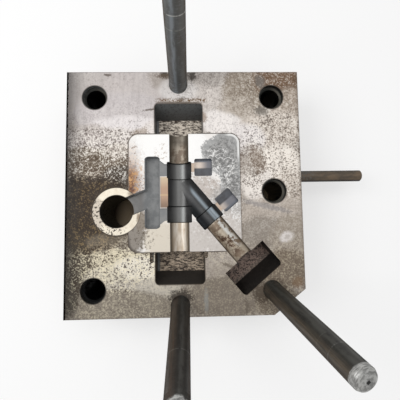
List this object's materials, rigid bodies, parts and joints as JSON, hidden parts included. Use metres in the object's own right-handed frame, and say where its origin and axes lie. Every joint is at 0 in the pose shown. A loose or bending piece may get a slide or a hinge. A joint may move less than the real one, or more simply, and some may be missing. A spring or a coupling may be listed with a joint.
{
  "type": "die casting mould cover half",
  "caption": "Cover half of a cold chamber die casting mould with cavity insert for a Y branch pipe fitting, shot sleeve, guide bushes and leaning angle pins.",
  "frame": {"origin": "centre of the back face of the die block, the face that is clamped to the machine", "axes": "+Z from the back face to the parting face, +X to the side with the lifting bar, +Y along the main bore of the casting towards the upper slide"},
  "size_m": [0.671, 0.6292, 0.3789],
  "materials": {
    "block_steel": "ground, rust stained",
    "insert_steel": "ground, pale",
    "sleeve_steel": "turned, pale",
    "bush_steel": "hardened, dark bore",
    "pin_steel": "hardened, dark, oiled",
    "plate_steel": "ground",
    "screw_steel": "black oxide",
    "bar_steel": "brown, rusted",
    "brass": "turned",
    "rubber": "matt"
  },
  "bodies": {
    "root": {"cover_die_block": "block_steel", "cavity_insert": "insert_steel", "shot_sleeve": "sleeve_steel", "sleeve_clamp_ring": "block_steel", "guide_bush_upper_left": "bush_steel", "guide_bush_upper_right": "bush_steel", "guide_bush_right": "bush_steel", "guide_bush_lower_left": "bush_steel", "angle_pin_upper": "pin_steel", "angle_pin_lower": "pin_steel", "angle_pin_branch": "pin_steel", "pin_retainer_upper": "plate_steel", "pin_retainer_lower": "plate_steel", "pin_retainer_branch": "plate_steel", "retainer_screws": "screw_steel", "insert_screws": "screw_steel", "clamp_ring_screws": "screw_steel", "lifting_bar": "bar_steel", "lifting_bar_nut": "screw_steel", "coolant_inlet": "brass", "coolant_outlet": "brass", "coolant_plugs": "brass", "coolant_seals": "rubber"}
  },
  "joints": []
}
